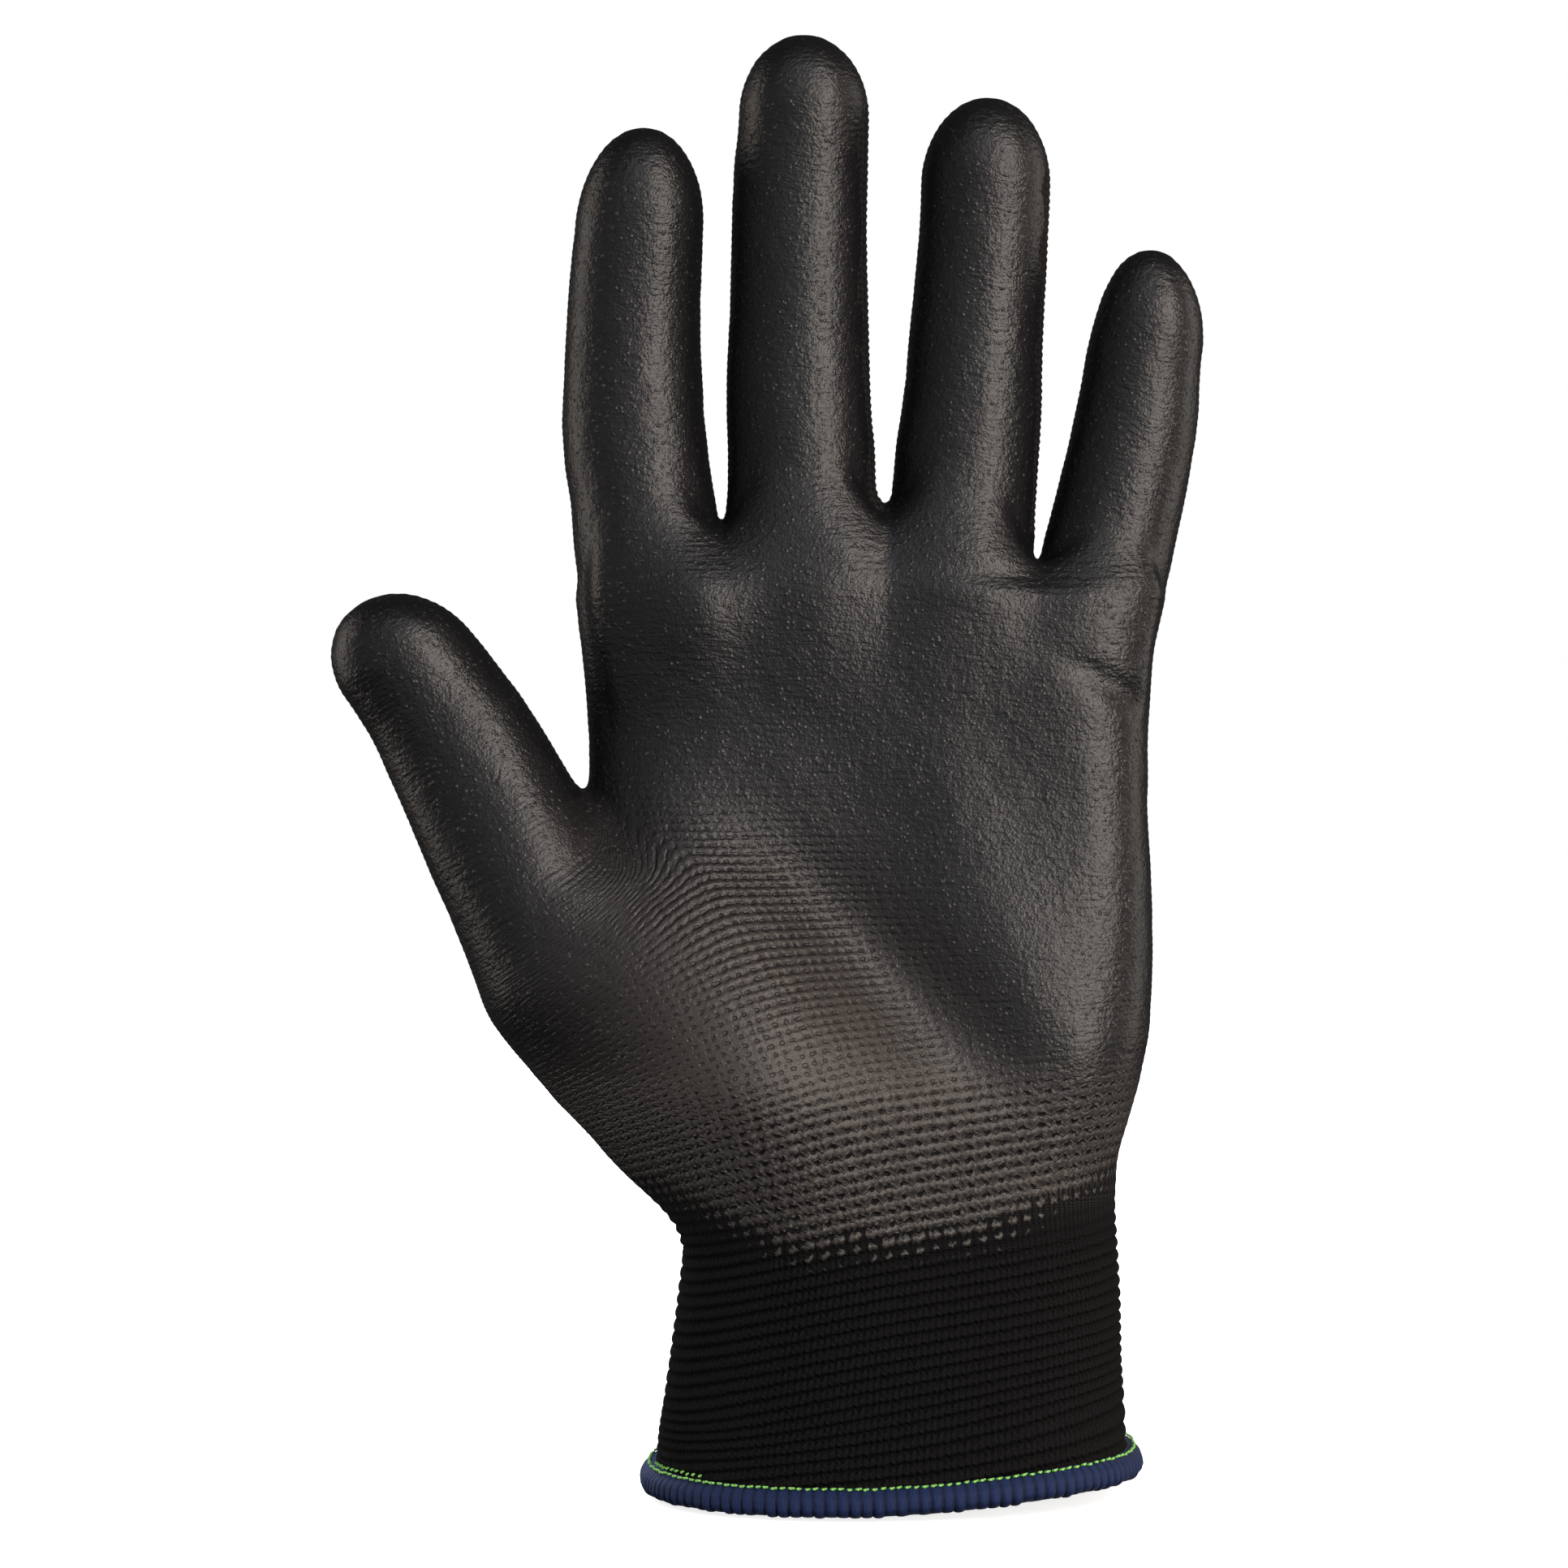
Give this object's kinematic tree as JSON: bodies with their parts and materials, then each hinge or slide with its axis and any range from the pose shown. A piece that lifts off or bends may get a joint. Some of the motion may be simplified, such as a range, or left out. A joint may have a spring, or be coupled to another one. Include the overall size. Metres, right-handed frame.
{
  "type": "cut resistant glove",
  "caption": "Seamless knit work glove with a film-coated palm side, elastic rib cuff and overlocked hem; wrist, finger and thumb folds bend.",
  "frame": {"origin": "centre of the hem opening, where the forearm leaves the glove", "axes": "+Z from the cuff to the fingertips; -Y is the palm side; the thumb is at -X"},
  "size_m": [0.1403, 0.0542, 0.2402],
  "materials": {
    "liner": "matte",
    "coating": "satin",
    "cuff": "matte",
    "elastic": "matte",
    "binding": "matte",
    "needle_thread": "satin"
  },
  "bodies": {
    "cuff": {"cuff_knit": "cuff", "cuff_elastic_band": "elastic", "hem_binding": "binding", "hem_needle_thread": "needle_thread", "wrist_fold": "liner"},
    "palm": {"palm_sleeve": "liner", "palm_coating": "coating", "index_root_fold": "liner", "middle_root_fold": "liner", "ring_root_fold": "liner", "little_root_fold": "liner", "thumb_root_fold": "liner"},
    "index_base": {"index_base_sleeve": "liner", "index_base_coating": "coating", "index_middle_fold": "liner"},
    "index_mid": {"index_mid_sleeve": "liner", "index_mid_coating": "coating", "index_end_fold": "liner"},
    "index_tip": {"index_tip_sleeve": "liner", "index_tip_coating": "coating"},
    "middle_base": {"middle_base_sleeve": "liner", "middle_base_coating": "coating", "middle_middle_fold": "liner"},
    "middle_mid": {"middle_mid_sleeve": "liner", "middle_mid_coating": "coating", "middle_end_fold": "liner"},
    "middle_tip": {"middle_tip_sleeve": "liner", "middle_tip_coating": "coating"},
    "ring_base": {"ring_base_sleeve": "liner", "ring_base_coating": "coating", "ring_middle_fold": "liner"},
    "ring_mid": {"ring_mid_sleeve": "liner", "ring_mid_coating": "coating", "ring_end_fold": "liner"},
    "ring_tip": {"ring_tip_sleeve": "liner", "ring_tip_coating": "coating"},
    "little_base": {"little_base_sleeve": "liner", "little_base_coating": "coating", "little_middle_fold": "liner"},
    "little_mid": {"little_mid_sleeve": "liner", "little_mid_coating": "coating", "little_end_fold": "liner"},
    "little_tip": {"little_tip_sleeve": "liner", "little_tip_coating": "coating"},
    "thumb_base": {"thumb_base_sleeve": "liner", "thumb_base_coating": "coating", "thumb_end_fold": "liner"},
    "thumb_tip": {"thumb_tip_sleeve": "liner", "thumb_tip_coating": "coating"}
  },
  "joints": [
    {"name": "wrist_bend", "type": "hinge", "parent": "cuff", "child": "palm", "pos_m": [0.0013, 0, 0.0416], "axis": [1, 0, 0], "range_deg": [-45, 45], "deforming": ["wrist_fold"]},
    {"name": "index_bend_root", "type": "hinge", "parent": "palm", "child": "index_base", "pos_m": [-0.04183, -0.00201, 0.1691], "axis": [1, 0, 0.0047], "range_deg": [-10, 60], "deforming": ["index_root_fold"]},
    {"name": "index_bend_middle", "type": "hinge", "parent": "index_base", "child": "index_mid", "pos_m": [-0.0426, -0.00265, 0.1906], "axis": [1, 0, 0.0047], "range_deg": [0, 70], "deforming": ["index_middle_fold"]},
    {"name": "index_bend_end", "type": "hinge", "parent": "index_mid", "child": "index_tip", "pos_m": [-0.04202, -0.00418, 0.2091], "axis": [1, 0, 0.0047], "range_deg": [0, 46], "deforming": ["index_end_fold"]},
    {"name": "middle_bend_root", "type": "hinge", "parent": "palm", "child": "middle_base", "pos_m": [-0.01489, -0.00199, 0.1701], "axis": [1, 0, 0.0049], "range_deg": [-10, 60], "deforming": ["middle_root_fold"]},
    {"name": "middle_bend_middle", "type": "hinge", "parent": "middle_base", "child": "middle_mid", "pos_m": [-0.0153, -0.0026, 0.1956], "axis": [1, 0, 0.0049], "range_deg": [0, 70], "deforming": ["middle_middle_fold"]},
    {"name": "middle_bend_end", "type": "hinge", "parent": "middle_mid", "child": "middle_tip", "pos_m": [-0.01512, -0.00405, 0.2181], "axis": [1, 0, 0.0049], "range_deg": [0, 46], "deforming": ["middle_end_fold"]},
    {"name": "ring_bend_root", "type": "hinge", "parent": "palm", "child": "ring_base", "pos_m": [0.0123, -0.002, 0.1686], "axis": [0.9974, 0, -0.0717], "range_deg": [-10, 60], "deforming": ["ring_root_fold"]},
    {"name": "ring_bend_middle", "type": "hinge", "parent": "ring_base", "child": "ring_mid", "pos_m": [0.01424, -0.00262, 0.1921], "axis": [0.9974, 0, -0.0717], "range_deg": [0, 70], "deforming": ["ring_middle_fold"]},
    {"name": "ring_bend_end", "type": "hinge", "parent": "ring_mid", "child": "ring_tip", "pos_m": [0.01543, -0.00406, 0.2121], "axis": [0.9974, 0, -0.0717], "range_deg": [0, 46], "deforming": ["ring_end_fold"]},
    {"name": "little_bend_root", "type": "hinge", "parent": "palm", "child": "little_base", "pos_m": [0.0376, -0.002, 0.1616], "axis": [0.9863, 0, -0.1652], "range_deg": [-10, 60], "deforming": ["little_root_fold"]},
    {"name": "little_bend_middle", "type": "hinge", "parent": "little_base", "child": "little_mid", "pos_m": [0.04098, -0.00263, 0.1781], "axis": [0.9863, 0, -0.1652], "range_deg": [0, 70], "deforming": ["little_middle_fold"]},
    {"name": "little_bend_end", "type": "hinge", "parent": "little_mid", "child": "little_tip", "pos_m": [0.04271, -0.00377, 0.1921], "axis": [0.9863, 0, -0.1652], "range_deg": [0, 46], "deforming": ["little_end_fold"]},
    {"name": "thumb_bend_root", "type": "hinge", "parent": "palm", "child": "thumb_base", "pos_m": [-0.06619, -0.00759, 0.1131], "axis": [0.8846, 0, 0.4664], "range_deg": [-10, 50], "deforming": ["thumb_root_fold"]},
    {"name": "thumb_bend_end", "type": "hinge", "parent": "thumb_base", "child": "thumb_tip", "pos_m": [-0.07568, -0.00868, 0.1311], "axis": [0.8846, 0, 0.4664], "range_deg": [0, 55], "deforming": ["thumb_end_fold"]}
  ],
  "couplings": [
    {"joint": "index_bend_end", "follows": "index_bend_middle", "ratio": 0.65},
    {"joint": "middle_bend_end", "follows": "middle_bend_middle", "ratio": 0.65},
    {"joint": "ring_bend_end", "follows": "ring_bend_middle", "ratio": 0.65},
    {"joint": "little_bend_end", "follows": "little_bend_middle", "ratio": 0.65}
  ]
}
